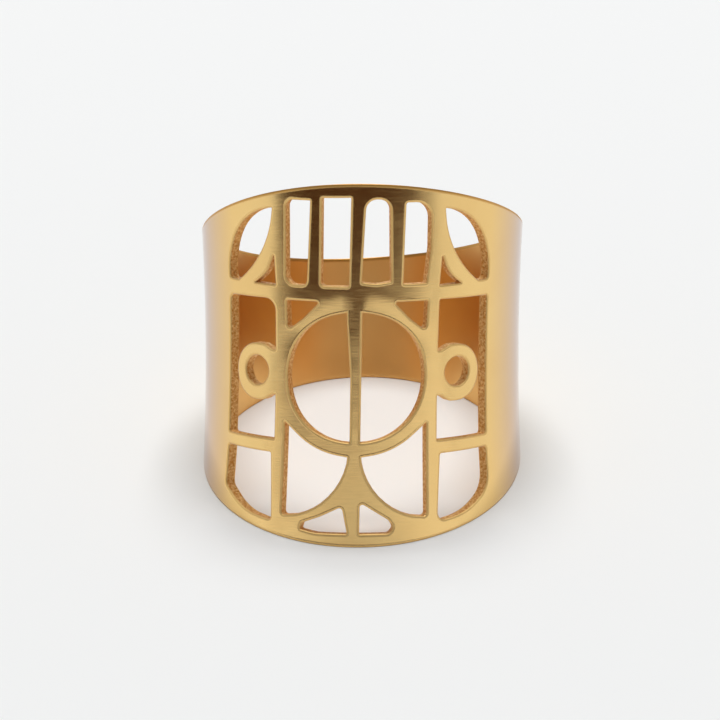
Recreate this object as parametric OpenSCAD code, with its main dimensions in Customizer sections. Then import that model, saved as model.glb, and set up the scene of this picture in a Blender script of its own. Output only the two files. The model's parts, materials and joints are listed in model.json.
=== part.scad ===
// A wide finger ring bent from one pierced brass sheet. It is tall at the front and narrow at the back,
// and it stands on its lower edge, so that the finger's axis leans back.
// The openings are laid out on the flat sheet: s runs round the band to the right from the middle of the
// front, and z runs up the band. Both are in millimetres on the outer face.

/* [Band] */
// inner diameter, for the finger
inner_diameter = 17.4; // [17:0.1:19]
// thickness of the sheet
wall = 0.65; // [0.6:0.05:0.9]
// height of the upper edge at the front, above the layout's middle line
upper_front = 10.7; // [10.6:0.1:12]
// height of the upper edge at the back
upper_back = 3.8; // [3:0.1:5]
// how far the upper edge dips below a straight cut at the sides
side_dip = 0.3; // [0.2:0.05:0.6]
// sideways slope of the upper edge, higher on the right, in degrees
upper_skew = 2.2; // [0:0.1:2.5]
// depth of the lower edge at the front, below the layout's middle line
lower_front = 10.3; // [10.2:0.1:11.5]
// depth of the lower edge at the back
lower_back = 3.1; // [2.6:0.1:4]

/* [Window] */
// half the width of the pierced window round the band
window = 8.82; // [8.7:0.02:9]
// width of the middle bar through the big circle
middle_bar = 0.66; // [0.5:0.02:0.8]
// distance from the middle to the centre line of each upright post
post_at = 4.68; // [4.6:0.02:4.8]
// width of the upright posts
post = 0.62; // [0.5:0.02:0.7]
// how far the upright lines lean out of true, in degrees
lean = 1; // [0:0.1:1.5]
// how far the finished walls stand inside the drawn outlines, once their edges are rounded
edge_round = 0.07; // [0.02:0.01:0.1]

/* [Upper openings] */
// top of the four slots
slot_top = 10.05; // [9.9:0.01:10.1]
// upper edge of the bar across the brow
brow_top = 4.8; // [4.7:0.05:4.9]
// lower edge of the bar across the brow
brow_bottom = 4.02; // [3.95:0.01:4.1]
// radius of the arc that closes the window at each upper corner
leaf_outer = 4.07; // [4:0.01:4.1]
// radius of the arc between the corner opening and the triangle under it
leaf_inner = 5.6; // [5:0.1:5.6]

/* [Middle openings] */
// half the width of the big circle
circle_wide = 4.24; // [4.1:0.02:4.28]
// half the height of the big circle
circle_high = 3.9; // [3.8:0.01:4]
// height of the big circle's centre
circle_at = -0.47; // [-0.52:0.01:-0.42]
// outer radius of the small rings at the sides
ring_outer = 1.59; // [1.5:0.01:1.6]
// radius of the hole in the small rings
ring_hole = 0.94; // [0.8:0.02:1]
// distance from the middle to the centre of the small rings
ring_side = 6.38; // [6.3:0.02:6.4]

/* [Lower openings] */
// upper edge of the bars across the sides
sill_top = -4.37; // [-4.4:0.01:-4.3]
// lower edge of the bars across the sides
sill_bottom = -4.98; // [-5.05:0.01:-4.9]
// radius of the two arcs that part from the middle bar
fan_arc = 4.13; // [4:0.01:4.2]
// bottom of the openings inside the two arcs
fan_bottom = -8.78; // [-8.8:0.01:-8.7]
// bottom of the two small openings under the arcs
tail_bottom = -9.68; // [-9.72:0.01:-9.62]

/* [Hidden] */
inner_radius = inner_diameter / 2;
outer_radius = inner_radius + wall;
// the lower edge lies in one plane, and the ring is tipped back until that plane is level
rest_tilt = atan((lower_front - lower_back) / (2 * outer_radius));
lower_middle = (lower_front + lower_back) / 2;
upper_middle = (upper_front + upper_back) / 2;
upper_slope = atan((upper_front - upper_back) / (2 * outer_radius));
// the upper edge follows a large arc between its front and back heights
upper_chord = outer_radius / cos(upper_slope);
upper_arc = (upper_chord * upper_chord + side_dip * side_dip) / (2 * side_dip);
// front and back limits of the tipped ring, to centre it
back_limit = outer_radius * cos(rest_tilt) + upper_back * sin(rest_tilt);
front_limit = -outer_radius * cos(rest_tilt) - lower_front * sin(rest_tilt);
// edges of the uprights
bar = middle_bar / 2;
post_in = post_at - post / 2;
post_out = post_at + post / 2;
// arc positions of the columns of openings, which are cut square to the sheet there
inner_column = 2.4;
outer_column = 6.9;
// centre of the arc that parts from the middle bar
fan_side = 4.42;
// the middle bar's two edges, from top to bottom: its left one widens upwards
bar_right = [[bar - 0.06, 6], [bar - 0.06, -6]];
bar_left = [[bar + 0.17, 6], [bar + 0.17, 3], [bar - 0.09, -0.6], [bar - 0.12, -6]];
near = inner_radius - 1.6;
far = outer_radius + 1.2;

function unit(v) = v / norm(v);

// an arc of radius r in the corner p, between the legs towards a and b
function corner(a, p, b, r) =
    let (
        u = unit(a - p),
        w = unit(b - p),
        half = acos(max(-1, min(1, u * w))) / 2,
        centre = p + unit(u + w) * r / sin(half),
        start = p + u * r / tan(half) - centre,
        way = u[0] * w[1] - u[1] * w[0] > 0 ? -1 : 1,
        turn = 180 - 2 * half,
        steps = max(1, ceil(turn * (r > 1 ? 0.12 : 0.05)))
    )
    r == 0 ? [p] : [
        for (i = [0:steps])
            let (t = way * turn * i / steps)
            centre + [start[0] * cos(t) - start[1] * sin(t), start[0] * sin(t) + start[1] * cos(t)]
    ];

// an outline from rows of [s, z, corner radius]
function outline(rows) =
    let (n = len(rows))
    [
        for (i = [0:n - 1])
            let (a = rows[(i + n - 1) % n], p = rows[i], b = rows[(i + 1) % n])
            for (q = corner([a[0], a[1]], [p[0], p[1]], [b[0], b[1]], p[2])) q
    ];

function signed_power(v, power) = sign(v) * pow(abs(v), power);

// a circle that was sawn a little square at the diagonals
function squared_circle(wide, high, power) =
    [for (a = [0:7.5:352.5])
        [wide * signed_power(cos(a), 2 / power), high * signed_power(sin(a), 2 / power)]];

module shape(rows) {
    polygon(outline(rows));
}

// upper corner opening, a leaf between two arcs
module leaf() {
    shape([
        [post_out + 0.12, 9.4, 0.12],
        [5.55, 6.38, leaf_inner],
        [7.86, 4.76, 0.2],
        [window, 4.76, 0.3],
        [window, 8.71, leaf_outer]
    ]);
}

// small triangle under the leaf, with a hollow slope
module upper_triangle(top) {
    shape([
        [post_out - 0.06, brow_top - 0.1, 0.1],
        [6.76, brow_top - 0.06, 0.1],
        [5.66, 5.5, 2.2],
        [post_out + 0.08, top, 0.1]
    ]);
}

// triangle between the brow, the post and the big circle
module shoulder() {
    shape([
        [2.02, brow_bottom, 0.16],
        [3.12, 2.9, 3],
        [post_in - 0.1, 2.02, 0.26],
        [post_in - 0.03, brow_bottom, 0.16]
    ]);
}

// half of the big circle, beside one edge of the middle bar
module half_circle(edge) {
    intersection() {
        translate([0, circle_at])
            polygon(squared_circle(circle_wide, circle_high, 2.1));
        polygon(concat(edge, [[6, -6], [6, 6]]));
    }
}

// side opening that runs round the small ring, with the roundings of its upper corners
module side_opening(inner_round, outer_round) {
    difference() {
        shape([
            [post_out - 0.06, sill_top, 0.12],
            [window + 0.05, sill_top, 0.25],
            [window - 0.02, brow_bottom - 0.06, outer_round],
            [post_out - 0.03, brow_bottom + 0.02, inner_round]
        ]);
        shape([
            [post_out - 1, 0.88, 0],
            [post_out - 1, -1.62, 0],
            [5.25, -1.62, 0.3],
            [5.85, circle_at - ring_outer + 0.05, 0.8],
            [ring_side + ring_outer, circle_at - ring_outer + 0.05, ring_outer - 0.02],
            [ring_side + ring_outer, circle_at + ring_outer + 0.05, ring_outer - 0.02],
            [5.85, circle_at + ring_outer + 0.05, 0.8],
            [5.25, 0.88, 0.3]
        ]);
    }
    translate([ring_side, circle_at + 0.12])
        polygon(squared_circle(ring_hole + 0.02, ring_hole, 2));
}

// opening inside each of the two lower arcs
module fan() {
    arc = [for (t = [192:8:256]) [fan_side + fan_arc * cos(t), fan_bottom + fan_arc + fan_arc * sin(t), 0]];
    shape(concat([[bar + 0.01, -5.08, 0.1]], arc, [
        [post_in + 0.04, fan_bottom, 0.28],
        [post_in, -3.06, 0.1],
        [2.3, -4.76, 5]
    ]));
}

// lower corner opening, with the roundings of its lower corners
module lower_corner(inner_round, outer_round) {
    shape([
        [post_out - 0.03, -9.15, inner_round],
        [7.18, -8.74, 5],
        [window + 0.2, -7.45, outer_round],
        [window + 0.04, sill_bottom + 0.02, 0.25],
        [post_out + 0.17, sill_bottom - 0.04, 0.18]
    ]);
}

// the four slots, each finished by hand to its own shape
module slots_left() {
    shape([
        [-4.4, brow_top, 0.65],
        [-2.92, brow_top, 0.4],
        [-2.7, slot_top - 0.12, 0.1],
        [-4.34, slot_top - 0.12, 0.5]
    ]);
    shape([
        [-2.2, brow_top, 0.3],
        [-0.4, brow_top, 0.18],
        [-0.34, slot_top + 0.1, 0.1],
        [-2.14, slot_top + 0.05, 0.14]
    ]);
}

module slots_right() {
    shape([
        [0.2, brow_top + 0.25, 0.15],
        [1.1, brow_top + 0.14, 2],
        [2.06, brow_top + 0.28, 0.15],
        [1.88, slot_top, 0.75],
        [0.4, slot_top, 0.7]
    ]);
    shape([
        [2.64, brow_top + 0.1, 0.15],
        [4.2, brow_top + 0.1, 0.15],
        [4.42, 7, 2],
        [4.34, slot_top - 0.22, 1.1],
        [2.68, slot_top - 0.22, 0.2]
    ]);
}

// the two small openings under the arcs
module tail_left() {
    shape([
        [-3.22, tail_bottom + 0.2, 0.15],
        [-2.2, tail_bottom, 3],
        [-0.25, tail_bottom, 0.12],
        [-0.62, -7.93, 0.26],
        [-2, -8.6, 2.5],
        [-3.08, -9, 0.22]
    ]);
}

module tail_right() {
    shape([
        [0.3, tail_bottom, 0.12],
        [2.1, tail_bottom + 0.02, 0.4],
        [2.45, -9.25, 0.35],
        [2.1, -8.76, 0.6],
        [0.3, -7.64, 0.24]
    ]);
}

// cuts its flat outlines square to the sheet, round the arc position s
module pierce(s) {
    rotate([90, 0, s / outer_radius * 180 / PI])
        translate([0, 0, near])
            linear_extrude(height = far - near, scale = [far / near, 1], slices = 1)
                scale([near / outer_radius * 1.012, 1])
                    translate([-s, 0])
                        multmatrix([[1, tan(lean), 0, 0.03], [0, 1, 0, 0], [0, 0, 1, 0]])
                            offset(delta = -edge_round)
                                children();
}

module outer_openings(triangle_top, side_rounds, corner_rounds) {
    leaf();
    upper_triangle(triangle_top);
    side_opening(side_rounds[0], side_rounds[1]);
    lower_corner(corner_rounds[0], corner_rounds[1]);
}

module inner_openings(bar_edge) {
    shoulder();
    half_circle(bar_edge);
    fan();
}

module band_blank() {
    difference() {
        translate([0, 0, -lower_front - 2])
            cylinder(r = outer_radius, h = lower_front + upper_front + 4, $fn = 180);
        translate([0, 0, -lower_front - 3])
            cylinder(r = inner_radius, h = lower_front + upper_front + 6, $fn = 180);
        // lower edge, one flat cut
        translate([0, 0, -lower_middle])
            rotate([rest_tilt, 0, 0])
                translate([-20, -25, -20])
                    cube([40, 50, 20]);
        // upper edge, a shallow arc from front to back
        translate([0, 0, upper_middle])
            rotate([-upper_slope, -upper_skew, 0])
                translate([-20, 0, upper_arc - side_dip])
                    rotate([0, 90, 0])
                        cylinder(r = upper_arc, h = 40, $fn = 720);
    }
}

module pierced_band() {
    color([0.84, 0.68, 0.38])
        translate([0, -(back_limit + front_limit) / 2, lower_middle * cos(rest_tilt)])
            rotate([-rest_tilt, 0, 0])
                difference() {
                    band_blank();
                    pierce(outer_column)
                        outer_openings(7, [0.2, 0.2], [0.5, 1.6]);
                    pierce(-outer_column)
                        mirror([1, 0])
                            outer_openings(6.65, [0.8, 0.45], [0.25, 0.5]);
                    pierce(inner_column) {
                        inner_openings(bar_right);
                        slots_right();
                        tail_right();
                    }
                    pierce(-inner_column) {
                        mirror([1, 0])
                            inner_openings(bar_left);
                        slots_left();
                        tail_left();
                    }
                }
}

pierced_band();
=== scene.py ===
import json
import math

import bmesh
import bpy
from bpy.props import FloatProperty, FloatVectorProperty, PointerProperty
from mathutils import Matrix, Vector


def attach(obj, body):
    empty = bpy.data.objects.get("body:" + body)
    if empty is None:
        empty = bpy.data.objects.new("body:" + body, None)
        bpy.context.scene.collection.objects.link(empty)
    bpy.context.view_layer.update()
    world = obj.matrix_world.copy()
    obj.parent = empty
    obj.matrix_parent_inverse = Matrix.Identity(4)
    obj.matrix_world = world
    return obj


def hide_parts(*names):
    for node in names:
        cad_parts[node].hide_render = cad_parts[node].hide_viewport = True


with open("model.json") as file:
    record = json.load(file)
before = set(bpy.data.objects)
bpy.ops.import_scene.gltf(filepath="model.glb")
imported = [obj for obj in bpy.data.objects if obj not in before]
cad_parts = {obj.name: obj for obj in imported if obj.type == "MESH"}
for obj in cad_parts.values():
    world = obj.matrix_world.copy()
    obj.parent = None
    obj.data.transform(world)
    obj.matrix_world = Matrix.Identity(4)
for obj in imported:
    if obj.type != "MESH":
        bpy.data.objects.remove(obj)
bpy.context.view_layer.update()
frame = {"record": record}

bl_info = {
    "name": "Cutout Ring",
    "version": (1, 0, 0),
    "blender": (4, 5, 0),
    "location": "3D View > Sidebar > Cutout Ring",
    "description": "Builds a finger ring pierced from gold plated brass sheet, and its studio",
    "category": "Object",
}

MM = 0.001

# The finger's bore as the frame gives it: its radius, a point on its axis and the way it leans.
BORE = next(m for m in frame["record"]["mounts"] if m["name"] == "finger_bore")


def linear(code):
    """Turns an sRGB hex colour into the linear values that shaders take."""
    values = [int(code[i : i + 2], 16) / 255 for i in (1, 3, 5)]
    return [v / 12.92 if v <= 0.04045 else ((v + 0.055) / 1.055) ** 2.4 for v in values]


def size(name, default, about):
    """A length that the user can change, given here in millimetres and kept in metres."""
    return FloatProperty(
        name=name, description=about, default=default * MM, min=0.0, unit="LENGTH", precision=5
    )


class CutoutRingSizes(bpy.types.PropertyGroup):
    """The band's sizes, close to those in the part's source"""

    inner_radius: size("Inner radius", BORE["dims"]["r_mm"], "Radius of the finger's bore")
    wall: size("Sheet", 0.65, "Thickness of the sheet")
    upper_front: size("Upper edge, front", 10.78, "Height of the upper edge at the front")
    upper_back: size("Upper edge, back", 3.78, "Height of the upper edge at the back")
    side_dip: size("Side dip", 0.28, "How far the upper edge dips at the sides")
    upper_skew: FloatProperty(
        name="Upper skew",
        description="Sideways slope of the upper edge",
        default=math.radians(2.3),
        subtype="ANGLE",
    )
    upper_twist: size("Upper twist", 0.12, "How far the upper edge rises and falls round the back")
    lower_front: size("Lower edge, front", 10.3, "Depth of the lower edge at the front")
    lower_back: size("Lower edge, back", 3.1, "Depth of the lower edge at the back")
    flare: FloatProperty(
        name="Flare", description="Curvature of the band's hollow side, per metre", default=3.5
    )
    waist: size("Waist", 0.08, "How far the band is drawn in at its narrowest")
    edge: size("Edge rounding", 0.18, "How far the burnished edges reach into the sheet's faces")
    inset: size("Opening inset", 0.07, "How far the rounded edges reach into the openings")
    lean: FloatProperty(
        name="Lean",
        description="How far the uprights lean out of true",
        default=math.radians(1),
        subtype="ANGLE",
    )
    step: size("Step round the band", 0.42, "Width of the facets that make the bend")


class CutoutRingStudio(bpy.types.PropertyGroup):
    """The studio round the ring"""

    floor_colour: FloatVectorProperty(
        name="Floor",
        description="Colour of the paper floor",
        subtype="COLOR",
        default=linear("#F3F4F4"),
    )
    dark_colour: FloatVectorProperty(
        name="Flag",
        description="Colour of the dark flag in front",
        subtype="COLOR",
        default=linear("#452912"),
    )
    sky: FloatProperty(
        name="Room light", description="Strength of the light near the horizon", default=0.9
    )
    box: FloatProperty(
        name="Softbox", description="Power of the softbox overhead", default=30.0, unit="POWER"
    )


# Named lines of the flat sheet, in millimetres, as in the part's source. s runs round the band from the
# middle of the front, and z runs up it.
WINDOW = 8.82
BAR = 0.33
POST_IN = 4.37
POST_OUT = 4.99
SLOT_TOP = 10.05
BROW_TOP = 4.8
BROW_BOTTOM = 4.02
RING_SIDE = 6.38
RING_OUTER = 1.59
SILL_TOP = -4.37
SILL_BOTTOM = -4.98
FAN_SIDE = 4.42
FAN_ARC = 4.13
FAN_BOTTOM = -8.78
TAIL_BOTTOM = -9.68

# The big circle: its centre's height, half its width and height, the power that squares it a little, and
# the distance from the middle at which its arcs start.
CIRCLE_AT = -0.47
CIRCLE_WIDE = 4.24
CIRCLE_HIGH = 3.9
SQUARED = 2.1
ARC_FROM = 0.6

# The small ring's hole: its centre's height, and half its width and height.
HOLE_AT = CIRCLE_AT + 0.12
HOLE_WIDE = 0.96
HOLE_HIGH = 0.94

# The whole layout sits this far to the right of the band's middle.
SHIFT = 0.03

# Roundings are drawn in steps no longer than this in millimetres and no wider than this in degrees. The
# tightest are drawn as finely as the third value, a radius.
ARC_STEP = 0.09
ARC_TURN = 15
ARC_LEAST = 0.12

# The middle bar's two edges inside the big circle, from the top down, as distance from the middle and z.
BAR_RIGHT = [(BAR - 0.06, 6.0), (BAR - 0.06, -6.0)]
BAR_LEFT = [(BAR + 0.17, 6.0), (BAR + 0.17, 3.0), (BAR - 0.09, -0.6), (BAR - 0.12, -6.0)]

# Openings on the right of the middle bar, drawn again as mirror images on the left. Each row is a corner:
# s, z, radius of its rounding.
PAIRED = {
    "leaf": [
        (POST_OUT + 0.12, 9.4, 0.12),
        (5.55, 6.38, 5.6),
        (7.86, 4.76, 0.2),
        (WINDOW, 4.76, 0.3),
        (WINDOW, 8.71, 4.07),
    ],
    "upper triangle": [
        (POST_OUT - 0.06, BROW_TOP - 0.1, 0.1),
        (6.76, BROW_TOP - 0.06, 0.1),
        (5.66, 5.5, 2.2),
        (POST_OUT + 0.08, 6.85, 0.1),
    ],
    "shoulder": [
        (2.02, BROW_BOTTOM, 0.16),
        (3.12, 2.9, 3.0),
        (POST_IN - 0.1, 2.02, 0.26),
        (POST_IN - 0.03, BROW_BOTTOM, 0.16),
    ],
    "fan": [(BAR + 0.01, -5.08, 0.1)]
    + [
        (
            FAN_SIDE + FAN_ARC * math.cos(math.radians(t)),
            FAN_BOTTOM + FAN_ARC + FAN_ARC * math.sin(math.radians(t)),
            0,
        )
        for t in range(192, 257, 8)
    ]
    + [
        (POST_IN + 0.04, FAN_BOTTOM, 0.28),
        (POST_IN, -3.06, 0.1),
        (2.3, -4.76, 5.0),
    ],
}

# Openings that were finished one by one, so that no two are alike. The rows are the same.
SINGLE = {
    "slot 1": [
        (-4.4, BROW_TOP, 0.65),
        (-2.92, BROW_TOP, 0.4),
        (-2.7, SLOT_TOP - 0.12, 0.1),
        (-4.34, SLOT_TOP - 0.12, 0.5),
    ],
    "slot 2": [
        (-2.2, BROW_TOP, 0.3),
        (-0.4, BROW_TOP, 0.18),
        (-0.34, SLOT_TOP + 0.1, 0.1),
        (-2.14, SLOT_TOP + 0.05, 0.14),
    ],
    "slot 3": [
        (0.2, BROW_TOP + 0.25, 0.15),
        (1.1, BROW_TOP + 0.14, 2.0),
        (2.06, BROW_TOP + 0.28, 0.15),
        (1.88, SLOT_TOP, 0.75),
        (0.4, SLOT_TOP, 0.7),
    ],
    "slot 4": [
        (2.64, BROW_TOP + 0.1, 0.15),
        (4.2, BROW_TOP + 0.1, 0.15),
        (4.42, 7.0, 2.0),
        (4.34, SLOT_TOP - 0.22, 1.1),
        (2.68, SLOT_TOP - 0.22, 0.2),
    ],
    "tail 1": [
        (-3.22, TAIL_BOTTOM + 0.2, 0.15),
        (-2.2, TAIL_BOTTOM, 3.0),
        (-0.25, TAIL_BOTTOM, 0.12),
        (-0.62, -7.93, 0.26),
        (-2.0, -8.6, 2.5),
        (-3.08, -9.0, 0.22),
    ],
    "tail 2": [
        (0.3, TAIL_BOTTOM, 0.12),
        (2.1, TAIL_BOTTOM + 0.02, 0.4),
        (2.45, -9.25, 0.35),
        (2.1, -8.76, 0.6),
        (0.3, -7.64, 0.24),
    ],
}

# Over the big circle the sheet is bowed out towards the opening, beside the middle bar: how wide, how far,
# and the circle's radius as this counts it, all in millimetres.
BOWED = 1.2
BOWED_OUT = 0.035
BOWED_ROUND = 3.95

# The bowing sets in between these shares of the circle's height, and these distances from the middle.
BOWED_UP = (0.2, 0.75)
BOWED_BESIDE = (0.3, 0.9)

# The step in millimetres over which the bowing's slope is measured.
SLOPE_STEP = 0.01

# The burnished edge's profile between the wall at 1, 0 and the face at 0, 1: a tight corner, then a slow
# fall.
BURNISHED = [(1.0, 0.5), (0.9, 0.8), (0.55, 0.96)]

# How far the filing of the rims is felt in the sheet, in metres, and the share of the burnished edge over
# which the upper rim's rougher finish sets in, with its darker gold, a painted dark reflection.
RIM = 0.5 * MM
FILED_AND_PAINTED_OVER = 0.4

# The height at which the band is narrowest, in millimetres.
WAIST_AT = -0.4

# The sheet's inside is where its flat normal points inwards by more than this.
INWARDS = -0.3

# Steps that draw the rims round the band, and the spare ones beyond the seam, which are cut off.
RIM_STEPS = 300
RIM_SPARE = 12

# Heights in millimetres at which the flat sheet is cut across, so that it bends up its height too: all
# over, and closer together where it is bowed.
LEVELS = [1.1 * i for i in range(-9, 10)] + [1.65 + 0.25 * i for i in range(12)]

# Distances in metres: a point this near a cut is on it, points this near each other are one, and the
# seam's two sides are joined from this far.
ON_CUT = 1e-8
SAME = 1e-7
SEAM = 1e-6

# The camera, fitted to the rims and the sides: degrees above the band's middle plane and to its right,
# its distance in outer radii of the band, that radius in millimetres, and the sensor's width in them.
EYE_RISE = 9
EYE_TURN = 2.5
EYE_DISTANCE = 40
EYE_RADIUS = 9.35
SENSOR = 36

# In pixels: the width of the square frame, an outer radius of the band in it, and the bore's centre from
# the left and from the top.
FRAME_PX = 720
RADIUS_PX = 157.8
CENTRE_PX = (362.1, 345.0)

# The dark flag, in metres: its distance, its height, its gap to the floor, how far the cloth reaches to
# each side and up, and the way it runs across, which is turned by 5 degrees.
FLAG_FAR = 0.25
FLAG_TALL = 0.08
FLAG_GAP = 0.0005
FLAG_WIDE = 0.2
FLAG_HIGH = 0.06
FLAG_ACROSS = (0.996, -0.087)

# The share of the room's light that is left overhead.
ROOM_TOP = 0.24


def side_opening(inner_round, outer_round):
    """Corners of the opening round the small ring, with the roundings of its two upper corners."""
    return [
        (POST_OUT - 0.06, SILL_TOP, 0.12),
        (WINDOW + 0.05, SILL_TOP, 0.25),
        (WINDOW - 0.02, BROW_BOTTOM - 0.06, outer_round),
        (POST_OUT - 0.03, BROW_BOTTOM + 0.02, inner_round),
        (POST_OUT - 0.05, 0.88, 0.1),
        (5.25, 0.88, 0.3),
        (5.85, CIRCLE_AT + RING_OUTER + 0.05, 0.8),
        (RING_SIDE + RING_OUTER, CIRCLE_AT + RING_OUTER + 0.05, RING_OUTER - 0.02),
        (RING_SIDE + RING_OUTER, CIRCLE_AT - RING_OUTER + 0.05, RING_OUTER - 0.02),
        (5.85, CIRCLE_AT - RING_OUTER + 0.05, 0.8),
        (5.25, -1.62, 0.3),
        (POST_OUT - 0.06, -1.62, 0.1),
    ]


def lower_corner(inner_round, outer_round):
    """Corners of the lower corner opening, with the roundings of its two lower corners."""
    return [
        (POST_OUT - 0.03, -9.15, inner_round),
        (7.18, -8.74, 5.0),
        (WINDOW + 0.2, -7.45, outer_round),
        (WINDOW + 0.04, SILL_BOTTOM + 0.02, 0.25),
        (POST_OUT + 0.17, SILL_BOTTOM - 0.04, 0.18),
    ]


def corner(a, p, b, radius):
    """Points along the rounding of the corner p, between the legs towards a and b."""
    if not radius:
        return [Vector(p)]
    a, p, b = Vector(a), Vector(p), Vector(b)
    u, w = (a - p).normalized(), (b - p).normalized()
    half = math.acos(max(-1, min(1, u @ w))) / 2
    centre = p + (u + w).normalized() * radius / math.sin(half)
    start = p + u * radius / math.tan(half) - centre
    turn = math.pi - 2 * half
    way = -1 if u.x * w.y - u.y * w.x > 0 else 1
    long = math.ceil(turn * max(radius, ARC_LEAST) / ARC_STEP)
    steps = max(2, long, math.ceil(math.degrees(turn) / ARC_TURN))
    return [centre + Matrix.Rotation(way * turn * i / steps, 2) @ start for i in range(steps + 1)]


def rounded(rows):
    """An opening's outline from its corners, going round clockwise."""
    around = list(zip(rows[-1:] + rows[:-1], rows, rows[1:] + rows[:1]))
    points = [q for a, p, b in around for q in corner(a[:2], p[:2], b[:2], p[2])]
    turned = sum(p.x * q.y - p.y * q.x for p, q in zip(points, points[1:] + points[:1]))
    return points if turned < 0 else points[::-1]


def squared_circle(wide, high, power, steps=120):
    """Points round a circle that was sawn a little square at the diagonals."""
    def along(v):
        return math.copysign(abs(v) ** (2 / power), v)

    angles = [-2 * math.pi * i / steps for i in range(steps)]
    return [Vector((wide * along(math.cos(t)), high * along(math.sin(t)))) for t in angles]


def half_circle(edge):
    """The big circle's outline on one side of the middle bar, whose edge is points from the top down."""
    circle = squared_circle(CIRCLE_WIDE, CIRCLE_HIGH, SQUARED)
    points = [p + Vector((0, CIRCLE_AT)) for p in circle]
    arc = sorted((p for p in points if p.x > ARC_FROM), key=lambda p: -p.y)

    def bar_edge(z):
        """How far out the bar's edge is at a height."""
        high, low = next(pair for pair in zip(edge, edge[1:]) if pair[1][1] <= z)
        return low[0] + (high[0] - low[0]) * (z - low[1]) / (high[1] - low[1])

    def on_circle(way):
        """Where the circle's upper or lower side meets the bar's edge."""
        z = CIRCLE_AT + way * CIRCLE_HIGH
        for _ in range(4):
            out = (bar_edge(z) / CIRCLE_WIDE) ** SQUARED
            z = CIRCLE_AT + way * CIRCLE_HIGH * (1 - out) ** (1 / SQUARED)
        return Vector((bar_edge(z), z))

    top, bottom = on_circle(1), on_circle(-1)
    between = [Vector(p) for p in edge if bottom.y < p[1] < top.y]
    return [top] + arc + [bottom] + between[::-1]


def openings(lean):
    """Every opening's outline on the flat sheet, with the uprights leaning."""
    paired = [rounded(rows) for rows in PAIRED.values()]
    hole = squared_circle(HOLE_WIDE, HOLE_HIGH, power=2, steps=60)
    paired.append([p + Vector((RING_SIDE, HOLE_AT)) for p in hole])
    right = paired + [
        rounded(side_opening(inner_round=0.2, outer_round=0.2)),
        rounded(lower_corner(inner_round=0.5, outer_round=1.6)),
        half_circle(BAR_RIGHT),
    ]
    left = paired + [
        rounded(side_opening(inner_round=0.8, outer_round=0.45)),
        rounded(lower_corner(inner_round=0.25, outer_round=0.5)),
        half_circle(BAR_LEFT),
    ]
    left = [[Vector((-p.x, p.y)) for p in reversed(points)] for points in left]
    single = [rounded(rows) for rows in SINGLE.values()]
    slope = math.tan(lean)
    return [
        [Vector((p.x + p.y * slope + SHIFT, p.y)) for p in points] for points in right + left + single
    ]


def edge_heights(sizes, angle, radius):
    """Lower and upper edge of the band at an angle round it and a distance from its axis, in metres."""
    outer = sizes.inner_radius + sizes.wall
    front, side = math.cos(angle) * radius / outer, math.sin(angle) * radius / outer
    upper = (sizes.upper_front + sizes.upper_back) / 2 + (sizes.upper_front - sizes.upper_back) / 2 * front
    upper += math.tan(sizes.upper_skew) * outer * side - sizes.side_dip * (1 - front * front)
    upper -= sizes.upper_twist * 2 * front * side
    lower = -(sizes.lower_front + sizes.lower_back) / 2 - (sizes.lower_front - sizes.lower_back) / 2 * front
    return lower, upper


def smooth(value, low, high):
    """Rises smoothly from 0 at low to 1 at high."""
    t = max(0, min(1, (value - low) / (high - low)))
    return t * t * (3 - 2 * t)


def bowed(s, z):
    """How far the sheet is bowed out over the big circle at a place on it, in millimetres."""
    up = (z - CIRCLE_AT) / CIRCLE_HIGH
    if up < BOWED_UP[0]:
        return 0
    away = ((abs(s) / CIRCLE_WIDE) ** SQUARED + up**SQUARED) ** (1 / SQUARED)
    near = max(0, min(1, 1 - (away - 1) * BOWED_ROUND / BOWED))
    return BOWED_OUT * near * near * smooth(up, *BOWED_UP) * smooth(abs(s), *BOWED_BESIDE)


def flat_sheet(sizes):
    """The pierced sheet before bending, as a filled flat curve with rounded edges, made a mesh."""
    outer = sizes.inner_radius + sizes.wall
    steps = RIM_STEPS + RIM_SPARE
    reach = math.pi * (1 + RIM_SPARE / RIM_STEPS)
    angles = [-reach + 2 * reach * i / steps for i in range(steps + 1)]
    lower = [Vector((a * outer, edge_heights(sizes, a, outer)[0] + sizes.inset)) for a in angles]
    upper = [Vector((a * outer, edge_heights(sizes, a, outer)[1] - sizes.inset)) for a in reversed(angles)]
    curve = bpy.data.curves.new("pierced_sheet", "CURVE")
    curve.dimensions = "2D"
    curve.fill_mode = "BOTH"
    curve.extrude = sizes.wall / 2 - sizes.edge
    curve.bevel_depth = sizes.edge
    curve.bevel_mode = "PROFILE"
    curve.bevel_resolution = 7
    for place in BURNISHED:
        curve.bevel_profile.points.add(*place)
    curve.bevel_profile.update()
    curve.offset = sizes.inset - sizes.edge
    for points in [lower + upper] + [[p * MM for p in points] for points in openings(sizes.lean)]:
        spline = curve.splines.new("POLY")
        spline.points.add(len(points) - 1)
        for knot, p in zip(spline.points, points):
            knot.co = (p.x, p.y, 0, 1)
        spline.use_cyclic_u = True
    drawn = bpy.data.objects.new("pierced_sheet", curve)
    bpy.context.collection.objects.link(drawn)
    mesh = bpy.data.meshes.new_from_object(drawn.evaluated_get(bpy.context.evaluated_depsgraph_get()))
    bpy.data.objects.remove(drawn)
    bpy.data.curves.remove(curve)
    return mesh


def cut_across(bm, point, normal, clear=False):
    """Cuts the whole mesh in a plane, and removes what lies beyond it if asked."""
    everything = bm.verts[:] + bm.edges[:] + bm.faces[:]
    bmesh.ops.bisect_plane(
        bm, geom=everything, dist=ON_CUT, plane_co=point, plane_no=normal, clear_outer=clear
    )


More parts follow.
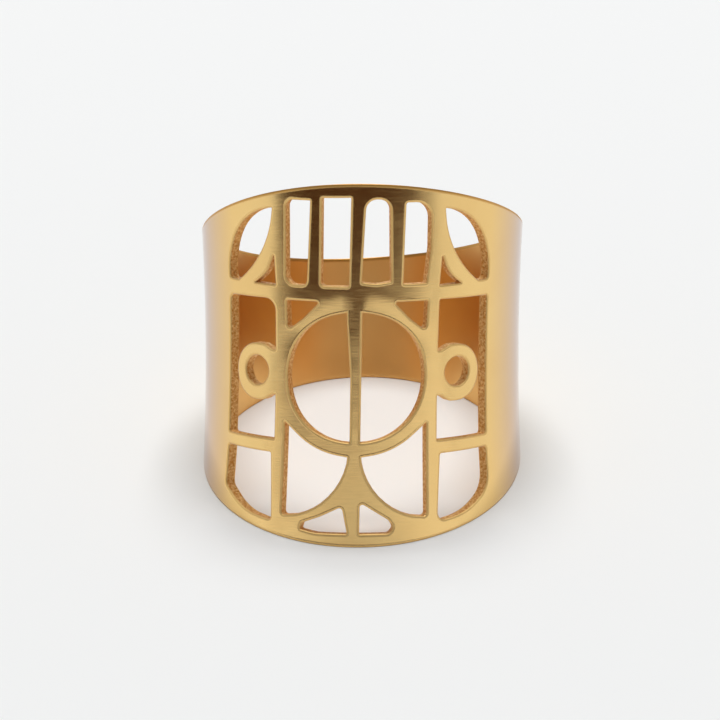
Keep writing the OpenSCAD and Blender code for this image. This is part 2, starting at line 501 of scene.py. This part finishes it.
def bent_band(sizes):
    """Bends the flat sheet round the finger, with its edges flared, and closes the seam behind."""
    outer = sizes.inner_radius + sizes.wall
    seam = math.pi * outer
    bm = bmesh.new()
    sheet = flat_sheet(sizes)
    bm.from_mesh(sheet)
    bpy.data.meshes.remove(sheet)
    bmesh.ops.remove_doubles(bm, verts=bm.verts, dist=SAME)
    for way in (-1, 1):
        cut_across(bm, (way * seam, 0, 0), (way, 0, 0), clear=True)
    # Where the flat faces meet the seam, only the ends of their edges are kept, so that both sides match.
    half = sizes.wall / 2
    spare = []
    for way in (-1, 1):
        for side in (-1, 1):
            on_face = [
                v
                for v in bm.verts
                if abs(v.co.x - way * seam) < SAME and abs(v.co.z - side * half) < SAME
            ]
            on_face.sort(key=lambda v: v.co.y)
            spare += on_face[1:-1]
    bmesh.ops.dissolve_verts(bm, verts=spare)
    strips = math.ceil(2 * seam / sizes.step)
    for i in range(1, strips):
        cut_across(bm, (-seam + 2 * seam * i / strips, 0, 0), (1, 0, 0))
    for z in LEVELS:
        cut_across(bm, (0, z * MM, 0), (0, 1, 0))
    bmesh.ops.recalc_face_normals(bm, faces=bm.faces)
    bm.normal_update()
    uv = bm.loops.layers.uv.new("sheet")
    turned = bm.verts.layers.float.new("turned")
    filed_and_painted_dark = bm.verts.layers.float.new("filed_and_painted_dark")
    inner = bm.verts.layers.float.new("inner")
    normals = bm.verts.layers.float_vector.new("bent_normal")
    for face in bm.faces:
        face.smooth = True
        for loop in face.loops:
            loop[uv].uv = (loop.vert.co.x / MM, loop.vert.co.y / MM)
    for v in bm.verts:
        on_face = abs(abs(v.co.z) - half) < SAME
        flat = Vector((0, 0, math.copysign(1, v.co.z))) if on_face else v.normal.copy()
        z = v.co.y / MM
        s = v.co.x / MM - z * math.tan(sizes.lean) - SHIFT
        sideways = bowed(s - SLOPE_STEP, z) - bowed(s + SLOPE_STEP, z)
        upwards = bowed(s, z - SLOPE_STEP) - bowed(s, z + SLOPE_STEP)
        tip = Vector((sideways, upwards, 0)) / (2 * SLOPE_STEP)
        flat = (flat + tip * flat.z).normalized()
        angle = v.co.x / outer
        low, high = edge_heights(sizes, angle, outer)
        above = v.co.y - WAIST_AT * MM
        slope = 2 * sizes.flare * above
        radius = outer - half + v.co.z + sizes.flare * above * above - sizes.waist + bowed(s, z) * MM
        depth = min(v.co.y - low, high - v.co.y)
        v[inner] = 1 if flat.z < INWARDS else 0
        v[turned] = 1 - abs(flat.z)
        v[filed_and_painted_dark] = max(0, min(1, (sizes.edge - high + v.co.y) / (FILED_AND_PAINTED_OVER * sizes.edge)))
        # Both rims are filed in one surface right through the sheet, so they aren't square to it.
        at = 0 if v.co.y - low < high - v.co.y else 1
        near = max(0, 1 - depth / RIM)
        drift = edge_heights(sizes, angle, radius)[at] - (low, high)[at]
        shear = drift * near / (radius - outer) if abs(radius - outer) > SEAM else 0
        stretch = 1 + drift / RIM * (-1 if at == 0 else 1) * (near > 0)
        out = Vector((math.sin(angle), -math.cos(angle), 0))
        along = Vector((math.cos(angle), math.sin(angle), 0))
        up = Vector((0, 0, 1)) + out * slope
        lifted = out - Vector((0, 0, slope))
        rise = flat.y / stretch
        level = along * flat.x + up.normalized() * rise + lifted.normalized() * (flat.z - shear * rise)
        v[normals] = level.normalized()
        v.co = out * radius + Vector((0, 0, v.co.y + drift * near))
    bmesh.ops.remove_doubles(bm, verts=bm.verts, dist=SEAM)
    return bm


def standing():
    """The turn and the move from the band's own axis to where it stands in the frame."""
    lean = Vector((0, 0, 1)).rotation_difference(Vector(BORE["axis"])).to_matrix()
    return Matrix.Translation(BORE["pos_m"]) @ lean.to_4x4()


def stand(bm, normals):
    """Moves the band to where it stands in the frame, with the normals that were noted on it."""
    pose = standing()
    lean = pose.to_3x3()
    for v in bm.verts:
        v[normals] = lean @ v[normals]
    bmesh.ops.transform(bm, matrix=pose, verts=bm.verts)


def node(tree, kind, links=None, **settings):
    """Adds a shader node, sets its properties and inputs, and links its inputs to other nodes' outputs."""
    made = tree.nodes.new(kind)
    for name, value in settings.items():
        if hasattr(made, name):
            setattr(made, name, value)
        else:
            made.inputs[name.replace("_", " ")].default_value = value
    for name, source in (links or {}).items():
        tree.links.new(source, made.inputs[name])
    return made


def gold_plate():
    """Gold plated brass, satin brushed round the band and burnished on its edges.

    The faces mirror softly, with short fine lines round the band that blur what they mirror up and down.
    The walls of the openings keep the grain of the saw, so they look deep orange and speckled. The
    burnished edges are matt. The upper rim, left rough from the file, is duller than the faces, and it is
    painted a darker gold, a painted dark reflection along the top edge. Seen along the faces the colour is
    painted paler, a painted sheen, and the inside is painted a deeper gold, a painted shade.
    """
    material = bpy.data.materials.new("gold_plated_brass_satin_brushed")
    material.use_nodes = True
    tree = material.node_tree
    tree.nodes.clear()
    place = node(tree, "ShaderNodeTexCoord").outputs["Object"]
    sheet = node(tree, "ShaderNodeUVMap", uv_map="sheet").outputs["UV"]
    turned = node(tree, "ShaderNodeAttribute", attribute_name="turned").outputs["Fac"]
    sawn = node(tree, "ShaderNodeMapRange", {"Value": turned}, From_Min=0.55, From_Max=0.95)
    edge = node(tree, "ShaderNodeMapRange", {"Value": turned}, From_Min=0.0, From_Max=0.012)
    sawn, edge = (ramp.outputs["Result"] for ramp in (sawn, edge))
    filed_and_painted_dark = node(tree, "ShaderNodeAttribute", attribute_name="filed_and_painted_dark").outputs["Fac"]
    inner = node(tree, "ShaderNodeAttribute", attribute_name="inner").outputs["Fac"]

    # Brush lines, 0.12 mm apart and about 1 mm long round the band.
    lines = node(tree, "ShaderNodeMapping", {"Vector": sheet}, Scale=(0.4, 3.2, 1.0)).outputs["Vector"]
    brushed = node(tree, "ShaderNodeTexNoise", {"Vector": lines}, Scale=2.6, Detail=3.0, Roughness=0.5)
    # Unevenness of hand polishing, 3 mm across.
    uneven = node(tree, "ShaderNodeTexNoise", {"Vector": place}, Scale=330.0, Detail=2.0, Roughness=0.5)
    # Grain of the sawn walls, 0.15 mm.
    grain = node(tree, "ShaderNodeTexNoise", {"Vector": place}, Scale=7000.0, Detail=4.0, Roughness=0.7)
    brushed, uneven, grain = (noise.outputs["Fac"] for noise in (brushed, uneven, grain))

    tone = node(tree, "ShaderNodeMapRange", {"Value": uneven}, From_Min=0.3, From_Max=0.7)
    face = node(tree, "ShaderNodeMix", {"Factor": tone.outputs["Result"]}, data_type="RGBA")
    face.inputs["A"].default_value = (*linear("#F0C984"), 1)
    face.inputs["B"].default_value = (*linear("#F4CF8A"), 1)
    # Painted sheen: seen along the surface, the satin's colour is painted paler, for the pale reflections
    # at the band's sides.
    facing = node(tree, "ShaderNodeLayerWeight", Blend=0.5).outputs["Facing"]
    along = node(tree, "ShaderNodeMapRange", {"Value": facing}, From_Min=0.42, From_Max=0.82)
    painted_sheen = node(
        tree,
        "ShaderNodeMix",
        {"Factor": along.outputs["Result"], "A": face.outputs["Result"]},
        data_type="RGBA",
    )
    painted_sheen.inputs["B"].default_value = (*linear("#C8AE9E"), 1)
    # Painted shade: the inside is painted a deeper gold, for the light that bounces between the gold walls.
    deep = node(tree, "ShaderNodeMix", {"Factor": inner, "A": painted_sheen.outputs["Result"]}, data_type="RGBA")
    deep.inputs["B"].default_value = (*linear("#EEC07A"), 1)
    # The walls' grain shows as dark and bright specks.
    speck = node(tree, "ShaderNodeMapRange", {"Value": grain}, From_Min=0.4, From_Max=0.62)
    specks = node(tree, "ShaderNodeMix", {"Factor": speck.outputs["Result"]}, data_type="RGBA")
    specks.inputs["A"].default_value = (*linear("#DA9A4C"), 1)
    specks.inputs["B"].default_value = (*linear("#FFDC9C"), 1)
    wall = node(
        tree,
        "ShaderNodeMix",
        {"Factor": sawn, "A": deep.outputs["Result"], "B": specks.outputs["Result"]},
        data_type="RGBA",
    )
    # Painted dark reflection: the upper rim is painted a darker gold, standing in for the dark that its
    # edge mirrors.
    rim = node(tree, "ShaderNodeMix", {"Factor": filed_and_painted_dark, "A": wall.outputs["Result"]}, data_type="RGBA")
    rim.inputs["B"].default_value = (*linear("#C8964F"), 1)

    # Roughness: the brushed face, then the inside, the burnished edges and the filed rim over it.
    satin = node(
        tree,
        "ShaderNodeMapRange",
        {"Value": brushed},
        From_Min=0.3,
        From_Max=0.7,
        To_Min=0.1,
        To_Max=0.14,
    )
    rough = satin.outputs["Result"]
    for share, value in ((inner, 0.33), (edge, 0.55), (filed_and_painted_dark, 0.4)):
        over = node(tree, "ShaderNodeMix", {"Factor": share, "A": rough}, data_type="FLOAT", B=value)
        rough = over.outputs["Result"]

    # Bumps of the polishing, the brush lines and the sawn grain, in metres.
    wavy = node(tree, "ShaderNodeBump", {"Height": uneven}, Strength=0.3, Distance=0.00006)
    fine = node(
        tree,
        "ShaderNodeBump",
        {"Height": brushed, "Normal": wavy.outputs["Normal"]},
        Strength=0.05,
        Distance=0.00002,
    )
    depth = node(tree, "ShaderNodeMath", {0: grain, 1: sawn}, operation="MULTIPLY")
    gritty = node(
        tree,
        "ShaderNodeBump",
        {"Height": depth.outputs["Value"], "Normal": fine.outputs["Normal"]},
        Strength=1.0,
        Distance=0.00015,
    )
    shader = node(
        tree,
        "ShaderNodeBsdfPrincipled",
        {"Base Color": rim.outputs["Result"], "Roughness": rough, "Normal": gritty.outputs["Normal"]},
        Metallic=1.0,
    )
    node(tree, "ShaderNodeOutputMaterial", {"Surface": shader.outputs["BSDF"]})
    return material


def dark_flag(colour):
    """Dark matt cloth that fades out at its outline, which is half an ellipse on the floor."""
    material = bpy.data.materials.new("dark_flag_soft_edged")
    material.use_nodes = True
    tree = material.node_tree
    tree.nodes.clear()
    place = node(tree, "ShaderNodeTexCoord").outputs["Object"]
    across = node(tree, "ShaderNodeVectorMath", {0: place}, operation="DOT_PRODUCT")
    across.inputs[1].default_value = (FLAG_ACROSS[0] / FLAG_WIDE, FLAG_ACROSS[1] / FLAG_WIDE, 0)
    upward = node(tree, "ShaderNodeVectorMath", {0: place}, operation="DOT_PRODUCT")
    upward.inputs[1].default_value = (0, 0, 1 / FLAG_HIGH)
    ellipse = node(
        tree,
        "ShaderNodeCombineXYZ",
        {"X": across.outputs["Value"], "Y": upward.outputs["Value"]},
    )
    far = node(tree, "ShaderNodeVectorMath", {0: ellipse.outputs["Vector"]}, operation="LENGTH")
    cover = node(
        tree,
        "ShaderNodeMapRange",
        {"Value": far.outputs["Value"]},
        interpolation_type="SMOOTHSTEP",
        From_Min=1.15,
        From_Max=0.87,
    )
    clear = node(tree, "ShaderNodeBsdfTransparent")
    cloth = node(tree, "ShaderNodeBsdfDiffuse", Color=(*colour, 1))
    mixed = node(
        tree,
        "ShaderNodeMixShader",
        {0: cover.outputs["Result"], 1: clear.outputs["BSDF"], 2: cloth.outputs["BSDF"]},
    )
    node(tree, "ShaderNodeOutputMaterial", {"Surface": mixed.outputs["Shader"]})
    return material


def white_paper(colour):
    """Uncoated white paper, which is matt and has next to no sheen."""
    material = bpy.data.materials.new("white_paper_matt")
    material.use_nodes = True
    shader = material.node_tree.nodes["Principled BSDF"]
    shader.inputs["Base Color"].default_value = (*colour, 1)
    shader.inputs["Roughness"].default_value = 0.9
    shader.inputs["Specular IOR Level"].default_value = 0.1
    return material


def finished(name, bm, material):
    """Makes an object of a bmesh and links it to the scene."""
    mesh = bpy.data.meshes.new(name)
    bm.to_mesh(mesh)
    bm.free()
    mesh.materials.append(material)
    made = bpy.data.objects.new(name, mesh)
    bpy.context.collection.objects.link(made)
    return made


class CUTOUTRING_OT_band(bpy.types.Operator):
    """Pierce the sheet, bend it round the finger and plate it"""

    bl_idname = "cutout_ring.band"
    bl_label = "Pierced band"
    bl_options = {"REGISTER", "UNDO"}

    def execute(self, context):
        sizes = context.scene.cutout_ring_sizes
        bm = bent_band(sizes)
        stand(bm, bm.verts.layers.float_vector["bent_normal"])
        band = finished("pierced_gold_band", bm, gold_plate())
        normals = [Vector(n.vector) for n in band.data.attributes["bent_normal"].data]
        band.data.normals_split_custom_set_from_vertices(normals)
        band.data.attributes.remove(band.data.attributes["bent_normal"])
        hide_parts("pierced_band")
        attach(band, "root")
        return {"FINISHED"}


class CUTOUTRING_OT_studio(bpy.types.Operator):
    """Lay the paper floor, set the lights and aim the camera"""

    bl_idname = "cutout_ring.studio"
    bl_label = "Studio"
    bl_options = {"REGISTER", "UNDO"}

    def execute(self, context):
        scene = context.scene
        studio = scene.cutout_ring_studio
        bm = bmesh.new()
        bmesh.ops.create_circle(bm, cap_ends=True, segments=96, radius=3.0)
        floor = finished("paper_floor", bm, white_paper(studio.floor_colour))
        self.flag(studio)
        self.lights(scene, studio)
        self.camera(scene)
        scene.view_settings.view_transform = "Standard"
        return {"FINISHED"}

    def flag(self, studio):
        """A dark flag that stands round the front, below the lens, for the middle of the band to mirror."""
        bm = bmesh.new()
        bmesh.ops.create_cone(bm, segments=96, radius1=FLAG_FAR, radius2=FLAG_FAR, depth=FLAG_TALL)
        bmesh.ops.translate(bm, vec=(0, 0, FLAG_TALL / 2 + FLAG_GAP), verts=bm.verts)
        cut_across(bm, (0, 0, 0), (0, 1, 0), clear=True)
        flag = finished("dark_flag", bm, dark_flag(studio.dark_colour))
        flag.visible_camera = False

    def lights(self, scene, studio):
        """A softbox overhead, and a room that is brightest near the horizon."""
        world = bpy.data.worlds.new("studio_room")
        scene.world = world
        world.use_nodes = True
        tree = world.node_tree
        place = node(tree, "ShaderNodeTexCoord")
        split = node(tree, "ShaderNodeSeparateXYZ", {"Vector": place.outputs["Object"]})
        fall = node(
            tree,
            "ShaderNodeMapRange",
            {"Value": split.outputs["Z"]},
            interpolation_type="SMOOTHSTEP",
            From_Min=0.15,
            From_Max=0.5,
            To_Min=studio.sky,
            To_Max=studio.sky * ROOM_TOP,
        )
        backdrop = tree.nodes["Background"]
        backdrop.inputs["Color"].default_value = (1.0, 1.0, 1.0, 1)
        tree.links.new(fall.outputs["Result"], backdrop.inputs["Strength"])
        softbox = bpy.data.lights.new("softbox", "AREA")
        softbox.shape = "RECTANGLE"
        softbox.size = 1.0
        softbox.size_y = 0.8
        softbox.energy = studio.box
        lamp = bpy.data.objects.new("softbox", softbox)
        lamp.location = (0.0, 0.68, 1.8)
        lamp.rotation_euler = (math.radians(-20.5), 0, 0)
        bpy.context.collection.objects.link(lamp)

    def camera(self, scene):
        """A long lens a little above the band's middle plane, and turned a little to its right."""
        rise, turn = math.radians(EYE_RISE), math.radians(EYE_TURN)
        away = Vector((math.sin(turn) * math.cos(rise), -math.cos(turn) * math.cos(rise), math.sin(rise)))
        right = Vector((math.cos(turn), math.sin(turn), 0))
        up = away.cross(right)
        turned = Matrix((right, up, away)).transposed().to_4x4()
        radius = EYE_RADIUS * MM
        lens = bpy.data.cameras.new("camera")
        lens.sensor_width = SENSOR
        lens.lens = SENSOR * RADIUS_PX * EYE_DISTANCE / FRAME_PX
        lens.shift_x = -(CENTRE_PX[0] - FRAME_PX / 2) / FRAME_PX
        lens.shift_y = -(FRAME_PX / 2 - CENTRE_PX[1]) / FRAME_PX
        lens.clip_start, lens.clip_end = 0.01, 20
        eye = bpy.data.objects.new("camera", lens)
        eye.matrix_world = standing() @ Matrix.Translation(away * EYE_DISTANCE * radius) @ turned
        bpy.context.collection.objects.link(eye)
        scene.camera = eye


class CUTOUTRING_PT_panel(bpy.types.Panel):
    """Lists the ring's pieces and sizes"""

    bl_label = "Cutout Ring"
    bl_idname = "CUTOUTRING_PT_panel"
    bl_space_type = "VIEW_3D"
    bl_region_type = "UI"
    bl_category = "Cutout Ring"

    def draw(self, context):
        layout = self.layout
        for group in (context.scene.cutout_ring_sizes, context.scene.cutout_ring_studio):
            for name in group.__annotations__:
                layout.prop(group, name)
        layout.operator(CUTOUTRING_OT_band.bl_idname)
        layout.operator(CUTOUTRING_OT_studio.bl_idname)


CLASSES = (
    CutoutRingSizes,
    CutoutRingStudio,
    CUTOUTRING_OT_band,
    CUTOUTRING_OT_studio,
    CUTOUTRING_PT_panel,
)


def register():
    for cls in CLASSES:
        bpy.utils.register_class(cls)
    bpy.types.Scene.cutout_ring_sizes = PointerProperty(type=CutoutRingSizes)
    bpy.types.Scene.cutout_ring_studio = PointerProperty(type=CutoutRingStudio)


def unregister():
    del bpy.types.Scene.cutout_ring_studio
    del bpy.types.Scene.cutout_ring_sizes
    for cls in reversed(CLASSES):
        bpy.utils.unregister_class(cls)


def main():
    register()
    bpy.ops.cutout_ring.band()
    bpy.ops.cutout_ring.studio()


if __name__ == "__main__":
    main()
